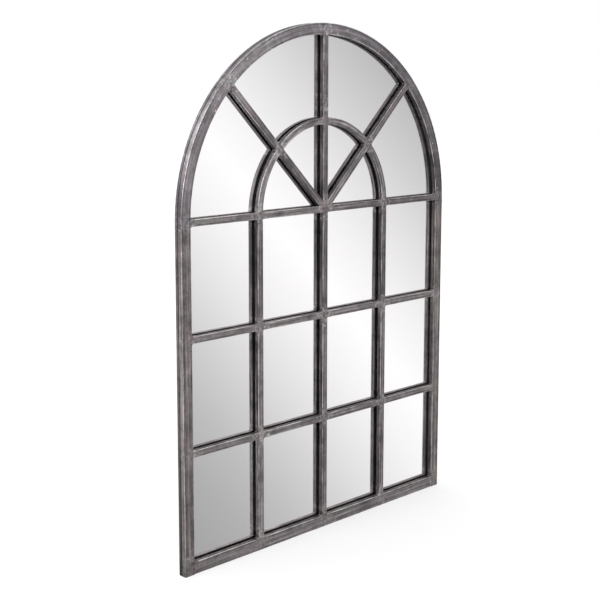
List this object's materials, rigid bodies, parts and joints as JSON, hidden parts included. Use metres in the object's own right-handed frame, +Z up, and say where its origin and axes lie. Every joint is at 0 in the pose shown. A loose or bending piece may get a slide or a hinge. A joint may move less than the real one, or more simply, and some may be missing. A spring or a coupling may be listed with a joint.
{
  "type": "arched window mirror",
  "caption": "Arched window-pane wall mirror: welded steel tube lattice with a fan-light top over one sheet of mirror glass.",
  "frame": {"origin": "bottom centre of the whole mirror, midway between the front face and the wall", "axes": "+X across the face to the viewer's right, +Y back towards the wall, +Z up"},
  "size_m": [0.813, 0.0274, 1.143],
  "materials": {
    "front_frame": "blackened and hand-brushed, worn to bare metal along the edges",
    "rear_frame": "blackened, less brushed than the front",
    "mirror": "polished, silvered",
    "foam_tape": "matt black closed-cell foam",
    "rubber": "matt",
    "liner": "uncoated card",
    "hardboard": "smooth brown hardboard",
    "hardware": "zinc plated"
  },
  "bodies": {
    "mirror_frame": {"outer_arch_tube": "front_frame", "left_stile_tube": "front_frame", "right_stile_tube": "front_frame", "bottom_rail_tube": "front_frame", "stile_end_plates": "front_frame", "left_muntin": "front_frame", "centre_muntin": "front_frame", "right_muntin": "front_frame", "spring_bar_1": "front_frame", "spring_bar_2": "front_frame", "spring_bar_3": "front_frame", "spring_bar_4": "front_frame", "upper_bar_1": "front_frame", "upper_bar_2": "front_frame", "upper_bar_3": "front_frame", "upper_bar_4": "front_frame", "lower_bar_1": "front_frame", "lower_bar_2": "front_frame", "lower_bar_3": "front_frame", "lower_bar_4": "front_frame", "inner_arch_1": "front_frame", "inner_arch_2": "front_frame", "inner_arch_3": "front_frame", "inner_arch_4": "front_frame", "left_spoke": "front_frame", "right_spoke": "front_frame", "rear_arch_tube": "rear_frame", "rear_left_tube": "rear_frame", "rear_right_tube": "rear_frame", "rear_bottom_tube": "rear_frame", "rear_end_plates": "rear_frame", "edge_tape": "foam_tape", "bar_tape": "foam_tape", "mirror_glass": "mirror", "setting_blocks": "rubber", "liner_sheet": "liner", "backing_board": "hardboard", "turn_button_screws": "hardware", "left_hanger_strap": "hardware", "right_hanger_strap": "hardware", "hanger_screws": "hardware", "wall_bumpers": "rubber"},
    "turn_button_1": {"turn_button_1": "hardware"},
    "turn_button_2": {"turn_button_2": "hardware"},
    "turn_button_3": {"turn_button_3": "hardware"},
    "turn_button_4": {"turn_button_4": "hardware"},
    "turn_button_5": {"turn_button_5": "hardware"},
    "turn_button_6": {"turn_button_6": "hardware"},
    "turn_button_7": {"turn_button_7": "hardware"},
    "turn_button_8": {"turn_button_8": "hardware"},
    "left_hanger_ring": {"left_hanger_ring": "hardware"},
    "right_hanger_ring": {"right_hanger_ring": "hardware"}
  },
  "joints": [
    {"name": "turn_button_1_pivot", "type": "hinge", "parent": "mirror_frame", "child": "turn_button_1", "pos_m": [-0.28178, 0.00725, 1.01828], "axis": [0, 1, 0], "continuous": true},
    {"name": "turn_button_2_pivot", "type": "hinge", "parent": "mirror_frame", "child": "turn_button_2", "pos_m": [0.28178, 0.00725, 1.01828], "axis": [0, 1, 0], "continuous": true},
    {"name": "turn_button_3_pivot", "type": "hinge", "parent": "mirror_frame", "child": "turn_button_3", "pos_m": [-0.3985, 0.00725, 0.4975], "axis": [0, 1, 0], "continuous": true},
    {"name": "turn_button_4_pivot", "type": "hinge", "parent": "mirror_frame", "child": "turn_button_4", "pos_m": [0.3985, 0.00725, 0.4975], "axis": [0, 1, 0], "continuous": true},
    {"name": "turn_button_5_pivot", "type": "hinge", "parent": "mirror_frame", "child": "turn_button_5", "pos_m": [-0.3985, 0.00725, 0.2585], "axis": [0, 1, 0], "continuous": true},
    {"name": "turn_button_6_pivot", "type": "hinge", "parent": "mirror_frame", "child": "turn_button_6", "pos_m": [0.3985, 0.00725, 0.2585], "axis": [0, 1, 0], "continuous": true},
    {"name": "turn_button_7_pivot", "type": "hinge", "parent": "mirror_frame", "child": "turn_button_7", "pos_m": [-0.1945, 0.00725, 0.008], "axis": [0, 1, 0], "continuous": true},
    {"name": "turn_button_8_pivot", "type": "hinge", "parent": "mirror_frame", "child": "turn_button_8", "pos_m": [0.1945, 0.00725, 0.008], "axis": [0, 1, 0], "continuous": true},
    {"name": "left_ring_swing", "type": "hinge", "parent": "mirror_frame", "child": "left_hanger_ring", "pos_m": [-0.3935, 0.0098, 0.7125], "axis": [1, 0, 0], "range_deg": [0, 180]},
    {"name": "right_ring_swing", "type": "hinge", "parent": "mirror_frame", "child": "right_hanger_ring", "pos_m": [0.3935, 0.0098, 0.7125], "axis": [1, 0, 0], "range_deg": [0, 180]}
  ]
}
